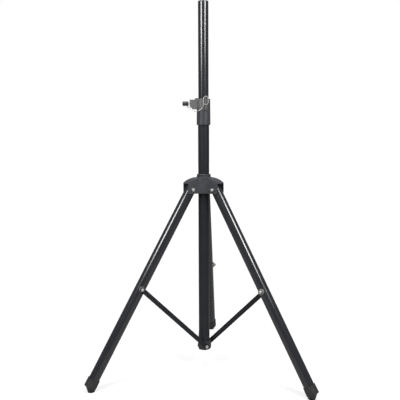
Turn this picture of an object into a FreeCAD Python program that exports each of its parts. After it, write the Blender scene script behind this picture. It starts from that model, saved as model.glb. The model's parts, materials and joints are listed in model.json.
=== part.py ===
import FreeCAD
import Part
import math
import os
import re
import Sketcher
from FreeCAD import Placement, Rotation, Vector

# A folding tripod stand for a loudspeaker: a centre tube with a sliding mast, a hub that
# slides on the centre tube and carries three legs, and three brace bars from the legs to
# the plug at the foot of the centre tube. Millimetres, +Z up, floor at Z = 0, the centre
# tube on the Z axis. Legs stand at 90 (rear), 210 (left) and 330 degrees (right).

doc = FreeCAD.newDocument("speaker_stand")
sheet = doc.addObject("Spreadsheet::Sheet", "Sizes")

# driving dimensions, in millimetres and degrees: name, value, what it is
sizeTable = [
    ("runGap", 0.08, "radial running clearance of a pin or shaft that turns or slides"),
    ("fitGap", 0.02, "radial clearance of pieces fixed in each other"),
    ("seatGap", 0.3, "gap between neighbours that slide past each other"),
    ("poleRadius", 19.05, "centre tube, outside"),
    ("poleWall", 1.2, "centre tube wall"),
    ("poleLength", 811, "centre tube, plug shoulder to top"),
    ("mastRadius", 17.5, "sliding mast, outside, the pole that a speaker sits on"),
    ("mastWall", 1.6, "mast wall"),
    ("mastLength", 948.5, "mast tube length"),
    ("mastHoleRadius", 3.4, "row of locking holes in the mast"),
    ("mastHolePitch", 100, "spacing of the locking holes"),
    ("mastHoleCount", 6, "number of locking holes"),
    ("mastFirstHole", 216, "first locking hole above the mast's lower end"),
    ("mastHoleUsed", 4, "locking hole that the pin faces as set up, counted from 0"),
    ("mastCapThick", 3, "flange of the mast's end cap"),
    ("mastCapDepth", 20, "spigot of the mast's end cap"),
    ("mastCapWall", 2, "wall of that spigot"),
    ("mastCapEdge", 1.5, "rounding of the end cap's rim"),
    ("mastBushLength", 34, "guide bush on the mast's lower end"),
    ("mastBushLip", 3, "lip of the guide bush below the tube"),
    ("mastBushWall", 2.5, "wall of the guide bush"),
    ("mastBushEdge", 0.8, "chamfer of that lip"),
    ("legAngle", 30, "leg from the vertical, spread"),
    ("legRadius", 18, "leg tube, outside"),
    ("legWall", 1.2, "leg tube wall"),
    ("legLength", 725.5, "leg pivot to the tube's lower end"),
    ("legHead", 12, "leg tube above its pivot"),
    ("legPivotOut", 50, "leg pivots from the centre line"),
    ("legPlugDepth", 40, "plug inside the leg's head, below the pivot"),
    ("legPlugLip", 1.5, "lip of that plug above the tube"),
    ("legPlugEdge", 1, "chamfers of that plug"),
    ("braceBoltDown", 373.5, "brace bolt below the leg pivot, along the leg"),
    ("braceAngle", 45, "brace from the vertical, spread"),
    ("braceWidth", 16.2, "brace bar width"),
    ("braceThick", 2.5, "brace bar thickness"),
    ("boltRadius", 3, "M6 pivot bolts and screws"),
    ("boltHeadRadius", 5.6, "M6 pan head"),
    ("boltHeadHigh", 3.2, "M6 pan head height"),
    ("nutAcross", 10, "M6 nut across flats"),
    ("nutHigh", 5, "M6 nut height"),
    ("nutDome", 2.2, "dome of a cap nut above its hexagon"),
    ("nutDomeRadius", 4.2, "radius of that dome at its foot"),
    ("nutDomeCurve", 6.2, "radius of that dome's profile"),
    ("nutCap", 0.6, "wall of a cap nut over its thread"),
    ("headRound", 0.45, "rounded share of a pan head's height"),
    ("studEdge", 0.5, "chamfer of a screw's end"),
    ("saddleRadius", 10, "saddle washers at the brace bolt"),
    ("saddleProud", 4.2, "rear saddle washer above the leg's side"),
    ("footRise", 19.7, "end of the leg's centre line above the floor"),
    ("bootRadius", 20.6, "foot boot sleeve, outside"),
    ("bootLap", 24.5, "foot boot over the leg's end"),
    ("bootEnd", 4, "boot's sleeve beyond the leg's end"),
    ("bootSole", 12.5, "boot's sole, just wider than the pad under it"),
    ("bootNeck", 20.1, "boot's foot where it leaves the sleeve"),
    ("bootRoot", 3, "root of the boot's foot inside the sleeve"),
    ("padInset", 1.75, "centre of a foot pad inwards from the leg's end"),
    ("padRadius", 12, "rubber foot pad"),
    ("padHigh", 5, "rubber foot pad below the boot"),
    ("padEdge", 1, "chamfer of the pad's lower edge"),
    ("padStemRadius", 6, "stem of the pad inside the boot"),
    ("padStemHigh", 5, "height of the pad's stem"),
    ("plugRadius", 24.5, "lobes of the plug at the foot of the centre tube"),
    ("plugDrop", 12, "plug below the brace screws"),
    ("plugRise", 19.5, "plug shoulder above the brace screws"),
    ("plugSpigot", 38, "plug inside the centre tube"),
    ("plugSpigotWall", 3, "wall of the plug's spigot"),
    ("plugRecess", 4, "floor of the spigot's bore below the shoulder"),
    ("plugFlatOver", 4, "overrun of the plug's flats beyond its lobes"),
    ("plugCorner", 7, "rounding of the plug's lower edge"),
    ("rivetRadius", 2, "blind rivets"),
    ("rivetFlange", 3.8, "radius of a rivet's head"),
    ("rivetCrown", 3, "radius of the flat on a rivet's head"),
    ("rivetShort", 0.5, "end of the plug's rivet inside the spigot's wall"),
    ("footScrewHead", 2, "head height of the screws in the plug"),
    ("screwDepth", 11, "length of those screws in the plug"),
    ("hubNeckRadius", 24.2, "neck ring on top of the hub"),
    ("hubNeckTop", 51, "neck top above the leg pivots"),
    ("hubDomeTop", 40.6, "dome at the neck above the leg pivots"),
    ("hubRimTop", 22.4, "dome at its rim above the leg pivots"),
    ("hubDrop", 13.7, "hub below the leg pivots"),
    ("hubReach", 71, "end of the hub's arms from the centre line"),
    ("neckGrooveDown", 3.2, "groove in the neck ring, below its top"),
    ("neckGrooveWide", 2.4, "width of that groove"),
    ("neckGrooveDeep", 1, "depth of that groove"),
    ("neckEdge", 1.2, "edge chamfer of the neck ring"),
    ("hubDomeCurve", 74, "radius of the dome's profile"),
    ("hubWall", 3, "hub cheeks and roof"),
    ("hubCore", 5, "hub wall round its bore, and roof over the inner end of a channel"),
    ("hubValley", 30, "rounding between two arms"),
    ("hubCorner", 4, "rounding of the arms' lower ends"),
    ("legPlay", 0.6, "leg to cheek, each side"),
    ("hubBushWall", 1.8, "liner between hub and centre tube"),
    ("hubLockUp", 3, "hub lock screw above the leg pivots"),
    ("hubLockOut", 34, "end of the hub's lock boss from the centre line"),
    ("hubLockBoss", 9, "radius of the hub's lock boss"),
    ("collarTopRadius", 22.7, "height collar, outside at the top"),
    ("collarFootRadius", 23.6, "height collar, outside at the foot"),
    ("collarHead", 35.5, "height collar above the centre tube"),
    ("collarLap", 52.5, "height collar over the centre tube"),
    ("collarEdge", 1.5, "edge chamfer of the collar"),
    ("pinUp", 20, "locking pin and clamp screw above the centre tube"),
    ("pinRadius", 3, "locking pin"),
    ("pinNeckRadius", 2, "neck of the locking pin"),
    ("pinBushWall", 1.5, "steel bush of the locking pin"),
    ("pinStandOff", 5.3, "pin cap to boss, pin drawn clear of the mast"),
    ("pinCapRadius", 7.6, "cap of the locking pin"),
    ("pinCapLength", 20, "length of the pin's cap"),
    ("pinInCap", 12, "neck of the pin inside its cap"),
    ("pinTip", 1, "chamfer of the pin's tip"),
    ("capInner", 1.6, "rounding of the cap's inner end"),
    ("capOuter", 2.2, "rounding of the cap's outer end"),
    ("bossOut", 46, "pin boss from the centre line"),
    ("bossHalfDeep", 12, "half depth of the pin boss"),
    ("bossUp", 12.7, "pin boss above the pin"),
    ("bossDown", 18.9, "pin boss below the pin"),
    ("bossChamfer", 9.5, "lower outer corner of the pin boss"),
    ("shoulderOut", 28.6, "that shoulder's outer end from the centre line"),
    ("shoulderUp", 17.7, "shoulder where boss meets collar, above the pin"),
    ("clampBossRadius", 12, "clamp boss behind the collar"),
    ("clampBossOut", 38, "end of the clamp boss from the centre line"),
    ("screwRadius", 4, "M8 clamp screws"),
    ("insertWall", 2.4, "wall of a threaded insert"),
    ("insertLength", 13, "length of a threaded insert"),
    ("shoeLength", 3.5, "pressure shoe of a clamp screw"),
    ("clampKnobRadius", 19, "lobed knob of the height clamp"),
    ("clampKnobThick", 16, "its thickness"),
    ("hubKnobRadius", 12, "lobed knob of the hub lock"),
    ("hubKnobThick", 18, "its thickness"),
    ("knobStandOff", 5, "boss to knob"),
    ("knobLobes", 6, "lobes of a knob"),
    ("knobNeck", 3, "neck of a knob"),
    ("knobEdge", 1.6, "rounding of a knob's rims"),
    ("knobBore", 0.75, "depth of a knob's bore as a share of the knob's thickness"),
    ("biteOut", 1.18, "centre of a knob's scallops as a share of the knob's radius"),
    ("biteSize", 0.32, "radius of a knob's scallops as a share of the knob's radius"),
    ("ringWire", 0.9, "wire radius of the tether ring"),
    ("ringWide", 18, "width of the tether ring"),
    ("ringHigh", 29, "height of the tether ring"),
    ("ringAside", 1, "middle of the hanging ring to the right of its peg"),
    ("pegRadius", 2.5, "peg that the tether ring hangs on"),
    ("pegUp", 18.2, "peg above the pin"),
    ("pegProud", 8.5, "end of the peg beyond the collar's face"),
    ("ribProud", 3.2, "rib beyond the collar's face"),
    ("ribSlope", 1.2, "fall of the rib's face towards its right edge"),
    ("ribFrom", 6.5, "left edge of the rib from the centre line"),
    ("ribWide", 5, "width of the rib"),
    ("ribDrop", 26, "rib below the pin"),
    ("padProud", 1.5, "raised pad beyond the collar's face"),
    ("rivetUpper", 14, "upper collar rivet below the centre tube's top"),
    ("rivetLower", 40, "lower collar rivet below the centre tube's top"),
    ("rivetHead", 0.9, "head height of the rivets"),
    ("eyeRadius", 2.4, "pin's wire eye, to the middle of the wire"),
    ("eyeWire", 0.8, "wire radius of the eye"),
    ("eyeStem", 1, "radius of the eye's stem"),
    ("eyeGap", 0.2, "eye to the cap"),
    ("eyeAside", 3, "eye from the cap's inner end"),
    ("chainRadius", 2.2, "half the width of the chain's links"),
    ("past", 1, "overrun of a cutting shape beyond the face that it goes through"),
    ("sink", 1, "root of a boss or rib inside the wall that carries it"),
]
sizes = {}
for rowNumber, (sizeName, sizeValue, sizeNote) in enumerate(sizeTable, start=1):
    sheet.set("A%d" % rowNumber, sizeNote)
    sheet.set("B%d" % rowNumber, str(sizeValue))
    sheet.setAlias("B%d" % rowNumber, sizeName)
    sizes[sizeName] = sizeValue
doc.recompute()

# places and lengths that follow from the driving dimensions
formulas = {
    "pivotHigh": "legLength * cos(legAngle * 1deg) + footRise",
    "boltOut": "legPivotOut + braceBoltDown * sin(legAngle * 1deg)",
    "braceLength": "boltOut / sin(braceAngle * 1deg)",
    "screwHigh": "pivotHigh - braceBoltDown * cos(legAngle * 1deg) - braceLength * cos(braceAngle * 1deg)",
    "poleFoot": "screwHigh + plugRise",
    "poleTop": "poleFoot + poleLength",
    "poleBore": "poleRadius - poleWall",
    "barNear": "poleRadius + seatGap",
    "barFar": "barNear + braceThick",
    "pinHigh": "poleTop + pinUp",
    "mastFoot": "pinHigh - mastFirstHole - mastHoleUsed * mastHolePitch",
    "collarBore": "mastRadius + seatGap",
    "armHalf": "legRadius + legPlay + hubWall",
    "channelHalf": "legRadius + legPlay",
    "hubBore": "poleRadius + runGap + hubBushWall",
    "valleyOut": "armHalf / sin(60deg)",
    "pegAside": "ribFrom + ribWide / 2",
    "padOut": "legPivotOut + legLength * sin(legAngle * 1deg) - padInset",
}


def linked(text):
    """The expression with every named size written as a reference to its cell."""
    def swap(match):
        word = match.group()
        if word in formulas:
            return "(" + linked(formulas[word]) + ")"
        return "Sizes." + word if word in sizes else word
    return re.sub(r"[A-Za-z_][A-Za-z_0-9]*", swap, text)


def num(text):
    """The value of an expression of named sizes."""
    return float(sheet.evalExpression(linked(text)))


def bind(thing, **expressions):
    """Binds properties to expressions; a double underscore stands for a dot."""
    for name, text in expressions.items():
        thing.setExpression(name.replace("__", "."), linked(text))
    return thing


nodes = {}


def node(name, thing, place=None):
    """Names a sub-part and puts it in its place."""
    thing.Label = name
    if place is not None:
        thing.Placement = place
    nodes[name] = thing
    return thing


# ---- places

legAzimuths = {"rear": 90, "left": 210, "right": 330}


def turned(azimuth):
    return Placement(Vector(), Rotation(Vector(0, 0, 1), azimuth))


def raised(text):
    return Placement(Vector(0, 0, num(text)), Rotation())


def pivotPlace(azimuth):
    """At a leg's pivot: +X outwards, +Y along the hinge axis, +Z up."""
    return turned(azimuth) * Placement(Vector(num("legPivotOut"), 0, num("pivotHigh")), Rotation())


def legPlace(azimuth):
    """At a leg's pivot with -Z down the leg."""
    return pivotPlace(azimuth) * Placement(Vector(), Rotation(Vector(0, 1, 0), -num("legAngle")))


def bracePlace(azimuth):
    """At a brace's lower screw with +Z up the brace."""
    tilt = Placement(Vector(), Rotation(Vector(0, 1, 0), num("braceAngle")))
    return turned(azimuth) * raised("screwHigh") * tilt


alongX = Rotation(Vector(0, 1, 0), 90)
alongY = Rotation(Vector(1, 0, 0), -90)
upright = Rotation()
collarRivetDrops = ("rivetUpper", "rivetLower")


# ---- shapes from Part primitives

def rod(name, radius, low, high, turn=upright, at=("0", "0", "0")):
    """A cylinder of bound size; low and high are measured along its own axis."""
    made = doc.addObject("Part::Cylinder", name)
    bind(made, Radius=radius, Height="(%s) - (%s)" % (high, low))
    axis = turn.multVec(Vector(0, 0, 1))
    made.Placement = Placement(Vector(), turn)
    for letter, part, start in zip("xyz", axis, at):
        made.setExpression("Placement.Base." + letter,
                           linked("%s + (%s) * %d" % (start, low, round(part))))
    return made


def cut(name, base, *tools):
    made = doc.addObject("Part::Cut", name)
    made.Base = base
    made.Tool = tools[0] if len(tools) == 1 else fused(name + "Tools", *tools)
    return made


def fused(name, *shapes):
    made = doc.addObject("Part::MultiFuse", name)
    made.Shapes = list(shapes)
    return made


def grouped(name, *shapes):
    """Separate solids that share one node."""
    made = doc.addObject("Part::Compound", name)
    made.Links = list(shapes)
    return made


def pipe(name, outer, bore, low, high):
    """A tube on the Z axis."""
    return cut(name, rod(name + "Wall", outer, low, high),
               rod(name + "Bore", bore, "(%s) - past" % low, "(%s) + past" % high))


# ---- PartDesign bodies and their sketches

def newBody(name):
    return doc.addObject("PartDesign::Body", name)


def newSketch(body, name, plane, lift="0"):
    sketch = body.newObject("Sketcher::SketchObject", name)
    planes = {item.Role: item for item in body.Origin.OriginFeatures}
    sketch.AttachmentSupport = [(planes[plane], "")]
    sketch.MapMode = "FlatFace"
    if lift != "0":
        sketch.setExpression("AttachmentOffset.Base.z", linked(lift))
    return sketch


def pinPoint(sketch, index, end, x, y):
    """Holds one end of a piece of outline at the place that two expressions give."""
    for kind, text, axis in (("DistanceX", x, -2), ("DistanceY", y, -1)):
        value = num(text)
        if abs(value) < 1e-9:
            sketch.addConstraint(Sketcher.Constraint("PointOnObject", index, end, axis))
        else:
            number = sketch.addConstraint(Sketcher.Constraint(kind, -1, 1, index, end, value))
            sketch.setExpression("Constraints[%d]" % number, linked(text))


def outline(body, name, plane, corners, lift="0"):
    """A closed outline through corners (x, y), or (x, y, bend) where the edge that starts
    there is an arc of radius bend: positive bulges to the right of its direction."""
    sketch = newSketch(body, name, plane, lift)
    places = [Vector(num(c[0]), num(c[1]), 0) for c in corners]
    ends = []
    for index, corner in enumerate(corners):
        start, stop = places[index], places[(index + 1) % len(places)]
        if len(corner) == 2:
            sketch.addGeometry(Part.LineSegment(start, stop))
            ends.append((1, 2))
            continue
        right = corner[2][0] != "-"
        bend = num(corner[2].lstrip("-"))
        chord = stop - start
        normal = Vector(-chord.y, chord.x, 0).normalize()
        rise = math.sqrt(bend ** 2 - (chord.Length / 2) ** 2)
        centre = (start + stop) / 2 + normal * (rise if right else -rise)
        spoke = centre + ((start + stop) / 2 - centre).normalize() * bend
        arc = Part.Arc(start, spoke, stop) if right else Part.Arc(stop, spoke, start)
        sketch.addGeometry(arc)
        number = sketch.addConstraint(Sketcher.Constraint("Radius", index, bend))
        sketch.setExpression("Constraints[%d]" % number, linked(corner[2].lstrip("-")))
        ends.append((1, 2) if right else (2, 1))
    for index, corner in enumerate(corners):
        follower = (index + 1) % len(corners)
        sketch.addConstraint(Sketcher.Constraint("Coincident", index, ends[index][1],
                                                 follower, ends[follower][0]))
        pinPoint(sketch, index, ends[index][0], corner[0], corner[1])
    return sketch


def circle(body, name, plane, x, y, radius, lift="0"):
    sketch = newSketch(body, name, plane, lift)
    place = Vector(num(x), num(y), 0)
    sketch.addGeometry(Part.Circle(place, Vector(0, 0, 1), num(radius)))
    number = sketch.addConstraint(Sketcher.Constraint("Radius", 0, num(radius)))
    sketch.setExpression("Constraints[%d]" % number, linked(radius))
    pinPoint(sketch, 0, 3, x, y)
    return sketch


def revolved(body, sketch, kind="Revolution"):
    made = body.newObject("PartDesign::" + kind, sketch.Name + kind)
    made.Profile = sketch
    made.ReferenceAxis = (sketch, ["V_Axis"])
    made.Angle = 360
    return made


def padded(body, sketch, length, both=False, back=False):
    made = body.newObject("PartDesign::Pad", sketch.Name + "Pad")
    made.Profile = sketch
    made.SideType = "Symmetric" if both else "One side"
    made.Reversed = back
    bind(made, Length=length)
    return made


def pocketed(body, sketch, depth, both=False, back=False):
    made = body.newObject("PartDesign::Pocket", sketch.Name + "Pocket")
    made.Profile = sketch
    made.SideType = "Symmetric" if both else "One side"
    made.Reversed = back
    bind(made, Length=depth)
    return made


def patterned(body, feature, count):
    """The feature repeated evenly round the Z axis."""
    axes = {item.Role: item for item in body.Origin.OriginFeatures}
    made = body.newObject("PartDesign::PolarPattern", feature.Name + "Round")
    made.Originals = [feature]
    made.Axis = (axes["Z_Axis"], [""])
    made.Angle = 360
    bind(made, Occurrences=count)
    body.Tip = made
    return made


def edgesWhere(feature, test):
    return ["Edge%d" % (number + 1) for number, edge in enumerate(feature.Shape.Edges) if test(edge)]


def rounded(body, feature, radius, test, kind="Fillet"):
    """A fillet or chamfer on the edges of the last feature that pass the test."""
    doc.recompute()
    made = body.newObject("PartDesign::" + kind, feature.Name + kind)
    made.Base = (feature, edgesWhere(feature, test))
    if kind == "Fillet":
        bind(made, Radius=radius)
    else:
        bind(made, Size=radius)
    return made


# ---- fasteners, along +Y from the given place

def panScrew(name, start, seat, head, shank="boltRadius", headRadius="boltHeadRadius"):
    """A shank from start to the seat, and a pan head of the given height on the seat."""
    body = newBody(name)
    crown = "(%s) * headRound" % head
    profile = outline(body, name + "Profile", "XY_Plane", [
        ("0", start), (shank, start), (shank, seat), (headRadius, seat),
        (headRadius, "(%s) + (%s) - %s" % (seat, head, crown), crown),
        ("(%s) - %s" % (headRadius, crown), "(%s) + (%s)" % (seat, head)),
        ("0", "(%s) + (%s)" % (seat, head))])
    revolved(body, profile)
    return body


def stud(name, radius, low, high):
    """A plain rod along +Y, chamfered at its low end."""
    body = newBody(name)
    profile = outline(body, name + "Profile", "XY_Plane", [
        ("0", low), (radius + " - studEdge", low), (radius, "(%s) + studEdge" % low), (radius, high),
        ("0", high)])
    revolved(body, profile)
    return body


def capNut(name, low, high, bore):
    """A hexagon cap nut whose seat is at high and whose dome points along -Y."""
    body = newBody(name)
    corner = "nutAcross / 2 / cos(30deg)"
    hexagon = [("(%s) * cos(%ddeg)" % (corner, turn), "(%s) * sin(%ddeg)" % (corner, turn))
               for turn in range(0, 360, 60)]
    sketch = outline(body, name + "Hex", "XZ_Plane", hexagon, "-(%s)" % high)
    padded(body, sketch, "nutHigh")
    doc.recompute()
    dome = outline(body, name + "Dome", "XY_Plane", [
        ("0", "(%s) + nutDome + nutCap" % low), ("nutDomeRadius", "(%s) + nutDome + nutCap" % low),
        ("nutDomeRadius", "(%s) + nutDome" % low, "-nutDomeCurve"), ("0", low)])
    revolved(body, dome)
    doc.recompute()
    hole = circle(body, name + "Hole", "XZ_Plane", "0", "0", bore, "-(%s)" % high)
    pocketed(body, hole, "nutHigh - nutCap", back=True)
    return body


# ---- centre column

def makePole():
    tube = pipe("poleTube", "poleRadius", "poleBore", "poleFoot", "poleTop")
    heights = ["poleFoot + plugSpigot / 2"] + ["poleTop - " + drop for drop in collarRivetDrops]
    holes = [rod("poleRivetHole%d" % number, "rivetRadius + fitGap", "poleBore - past", "poleRadius + past",
                 alongY, ("0", "0", high)) for number, high in enumerate(heights)]
    node("outer_tube", cut("pole", tube, *holes))


def makeBasePlug():
    """Lobed foot plug: three flats for the brace ends round a spigot for the tube."""
    body = newBody("basePlug")
    spigot = "poleBore - fitGap"
    profile = outline(body, "plugProfile", "XZ_Plane", [
        ("0", "-plugDrop"), ("plugRadius - plugCorner", "-plugDrop", "plugCorner"),
        ("plugRadius", "plugCorner - plugDrop"), ("plugRadius", "plugRise"),
        (spigot, "plugRise"), (spigot, "plugRise + plugSpigot"),
        (spigot + " - plugSpigotWall", "plugRise + plugSpigot"),
        (spigot + " - plugSpigotWall", "plugRise - plugRecess"), ("0", "plugRise - plugRecess")])
    revolved(body, profile)
    beyond = "plugRadius + plugFlatOver"
    side = outline(body, "plugFlat", "XY_Plane", [
        ("-(%s)" % beyond, "-(%s)" % beyond), ("-poleRadius", "-(%s)" % beyond),
        ("-poleRadius", beyond), ("-(%s)" % beyond, beyond)], "-plugDrop - past")
    flat = pocketed(body, side, "plugDrop + plugRise + past", back=True)
    doc.recompute()
    patterned(body, flat, "3")
    doc.recompute()
    hole = circle(body, "plugScrewHole", "YZ_Plane", "0", "0", "boltRadius + fitGap", "-poleRadius")
    drilled = pocketed(body, hole, "screwDepth + seatGap", back=True)
    doc.recompute()
    patterned(body, drilled, "3")
    doc.recompute()
    rivetHole = circle(body, "plugRivetHole", "XZ_Plane", "0", "plugRise + plugSpigot / 2",
                       "rivetRadius + fitGap", "-(%s)" % spigot)
    pocketed(body, rivetHole, "plugSpigotWall", back=True)
    node("base_plug", body, raised("screwHigh"))


def rivet(name, start, seat):
    """A blind rivet along +Y with its head on the seat."""
    body = newBody(name)
    profile = outline(body, name + "Profile", "XY_Plane", [
        ("0", start), ("rivetRadius", start), ("rivetRadius", seat), ("rivetFlange", seat),
        ("rivetCrown", seat + " + rivetHead"), ("0", seat + " + rivetHead")])
    revolved(body, profile)
    return body


def makePlugRivet():
    """Blind rivet behind the tube that holds the plug."""
    body = rivet("plugRivet", "poleBore - fitGap - plugSpigotWall + rivetShort", "poleRadius")
    node("plug_rivet", body, raised("poleFoot + plugSpigot / 2"))


def makeFootScrews():
    """Three screws in the plug, one for the lower end of each brace."""
    screws = []
    for side, azimuth in legAzimuths.items():
        screw = panScrew("footScrew" + side.title(), "poleRadius - screwDepth",
                         "barFar + seatGap", "footScrewHead")
        screw.Placement = turned(azimuth) * raised("screwHigh")
        screws.append(screw)
    node("brace_foot_screws", grouped("footScrews", *screws))


# ---- height collar, clamp and locking pin

def makeCollar():
    """Moulded collar: socket on the centre tube, guide for the mast, pin boss on the left,
    clamp boss behind, a raised pad, and a rib with a peg for the tether ring."""
    body = newBody("collar")
    profile = outline(body, "collarProfile", "XZ_Plane", [
        ("collarBore", "0"), ("poleRadius + fitGap", "0"), ("poleRadius + fitGap", "-collarLap"),
        ("collarFootRadius - collarEdge", "-collarLap"), ("collarFootRadius", "collarEdge - collarLap"),
        ("collarTopRadius", "collarHead - collarEdge"), ("collarTopRadius - collarEdge", "collarHead"),
        ("collarBore", "collarHead")])
    revolved(body, profile)
    doc.recompute()
    face = outline(body, "bossFace", "XZ_Plane", [
        ("-collarBore - sink", "pinUp - bossDown"), ("bossChamfer - bossOut", "pinUp - bossDown"),
        ("-bossOut", "pinUp - bossDown + bossChamfer"), ("-bossOut", "pinUp + bossUp"),
        ("-shoulderOut", "pinUp + bossUp"), ("sink - shoulderOut", "pinUp + shoulderUp - sink"),
        ("sink * 2 - shoulderOut", "pinUp + shoulderUp"), ("-collarBore - sink", "pinUp + shoulderUp")])
    padded(body, face, "bossHalfDeep * 2", both=True)
    doc.recompute()
    clamp = circle(body, "clampBoss", "XZ_Plane", "0", "pinUp", "clampBossRadius", "-clampBossOut")
    padded(body, clamp, "clampBossOut - collarBore - sink")
    doc.recompute()
    makeCollarPad(body)
    makeCollarRib(body)
    for number, drop in enumerate(collarRivetDrops):
        rivetHole = circle(body, "rivetHole%d" % number, "XZ_Plane", "0", "-" + drop,
                           "rivetRadius + fitGap", "-collarFootRadius - past")
        pocketed(body, rivetHole, "collarFootRadius - poleRadius + past * 3", back=True)
        doc.recompute()
    pinHole = circle(body, "pinHole", "YZ_Plane", "0", "pinUp", "pinRadius + pinBushWall + runGap + fitGap",
                     "-bossOut - past")
    pocketed(body, pinHole, "bossOut - collarFootRadius + past", back=True)
    doc.recompute()
    pinThrough = circle(body, "pinThrough", "YZ_Plane", "0", "pinUp", "pinRadius + seatGap",
                        "-bossOut - past")
    pocketed(body, pinThrough, "bossOut - mastRadius + past", back=True)
    doc.recompute()
    insertHole = circle(body, "insertHole", "XZ_Plane", "0", "pinUp",
                        "screwRadius + runGap + insertWall + fitGap", "-clampBossOut - past")
    pocketed(body, insertHole, "insertLength + past", back=True)
    doc.recompute()
    screwHole = circle(body, "screwHole", "XZ_Plane", "0", "pinUp", "screwRadius + seatGap",
                       "-clampBossOut - past")
    pocketed(body, screwHole, "clampBossOut - mastRadius + past * 3", back=True)
    node("height_collar", body, raised("poleTop"))


def makeCollarPad(body):
    """Raised pad on the collar's face beside the pin boss."""
    inner, outer = "collarBore + sink", "collarTopRadius + padProud"
    first, last = -136, -102  # degrees from +X
    sketch = outline(body, "padFace", "XY_Plane", [
        ("(%s) * cos(%ddeg)" % (inner, first), "(%s) * sin(%ddeg)" % (inner, first)),
        ("(%s) * cos(%ddeg)" % (outer, first), "(%s) * sin(%ddeg)" % (outer, first), outer),
        ("(%s) * cos(%ddeg)" % (outer, last), "(%s) * sin(%ddeg)" % (outer, last)),
        ("(%s) * cos(%ddeg)" % (inner, last), "(%s) * sin(%ddeg)" % (inner, last))],
        "pinUp - bossDown * 0.75")
    padded(body, sketch, "bossDown * 0.75 + bossUp * 0.85")
    doc.recompute()


def makeCollarRib(body):
    """Upright rib on the collar's face, with a peg at its top."""
    reach = "collarTopRadius + ribProud"
    rib = outline(body, "ribFace", "XY_Plane", [
        ("ribFrom", "-collarBore - sink"), ("ribFrom", "-(%s)" % reach),
        ("ribFrom + ribWide", "ribSlope - (%s)" % reach), ("ribFrom + ribWide", "-collarBore - sink")],
        "pinUp - ribDrop")
    padded(body, rib, "ribDrop + pegUp + pegRadius")
    doc.recompute()
    peg = circle(body, "pegFace", "XZ_Plane", "pegAside", "pinUp + pegUp", "pegRadius", "collarBore + sink")
    padded(body, peg, "collarTopRadius + pegProud - collarBore - sink")
    doc.recompute()


def makeCollarRivets():
    """Two blind rivets behind the collar's socket."""
    rivets = []
    for number, drop in enumerate(collarRivetDrops):
        body = rivet("collarRivet%d" % number, "poleBore", "collarFootRadius")
        body.Placement = raised("poleTop - " + drop)
        rivets.append(body)
    node("collar_rivets", grouped("collarRivets", *rivets))


def ring(name, outer, bore, low, high, turn):
    """A sleeve along X or Y."""
    return cut(name, rod(name + "Outer", outer, low, high, turn),
               rod(name + "Bore", bore, "(%s) - past" % low, "(%s) + past" % high, turn))


def makePin():
    bush = ring("pinBushRing", "pinRadius + runGap + pinBushWall", "pinRadius + runGap",
                "-bossOut", "-collarFootRadius", alongX)
    node("pin_bush", bush, raised("pinHigh"))
    body = newBody("lockPin")
    neck = "bossOut - pinStandOff"
    profile = outline(body, "pinProfile", "XY_Plane", [
        ("0", "mastRadius + seatGap"), ("pinRadius - pinTip", "mastRadius + seatGap"),
        ("pinRadius", "mastRadius + seatGap + pinTip"), ("pinRadius", neck), ("pinNeckRadius", neck),
        ("pinNeckRadius", "bossOut + pinStandOff + pinInCap"), ("0", "bossOut + pinStandOff + pinInCap")])
    revolved(body, profile)
    outward = Placement(Vector(), Rotation(Vector(0, 0, 1), 90))
    node("lock_pin", body, raised("pinHigh") * outward)
    cap = newBody("pinCap")
    inner, outer = "bossOut + pinStandOff", "bossOut + pinStandOff + pinCapLength"
    capProfile = outline(cap, "pinCapProfile", "XY_Plane", [
        ("0", inner), ("pinCapRadius - capInner", inner, "capInner"),
        ("pinCapRadius", inner + " + capInner"), ("pinCapRadius", outer + " - capOuter", "capOuter"),
        ("pinCapRadius - capOuter", outer), ("0", outer)])
    revolved(cap, capProfile)
    doc.recompute()
    bore = circle(cap, "pinCapBore", "XZ_Plane", "0", "0", "pinNeckRadius + fitGap", "-(%s)" % inner)
    pocketed(cap, bore, "pinInCap")
    node("pin_cap", cap, raised("pinHigh") * outward)


def makePinEye():
    """Wire eye under the cap that the chain hooks into."""
    drop = "pinCapRadius + eyeGap + eyeWire + eyeRadius"
    loop = doc.addObject("Part::Torus", "eyeLoop")
    bind(loop, Radius1="eyeRadius", Radius2="eyeWire")
    loop.Placement = Placement(Vector(), alongY)
    loop.setExpression("Placement.Base.z", linked("-(%s)" % drop))
    stem = rod("eyeStem", "eyeStem", "eyeRadius - (%s)" % drop, "-pinCapRadius")
    node("pin_eye", fused("eye", loop, stem),
         Placement(Vector(-num("bossOut + pinStandOff + eyeAside"), 0, num("pinHigh")), upright))


def makeShoe(name, radius, face):
    """Pressure shoe with a hollow face that fits the tube it presses on, along +Y."""
    shoe = cut(name, rod(name + "Rod", radius, "(%s) - past" % face, "(%s) + shoeLength" % face, alongY),
               rod(name + "Hollow", face, "-shoeLength * 2", "shoeLength * 2"))
    return shoe


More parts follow.
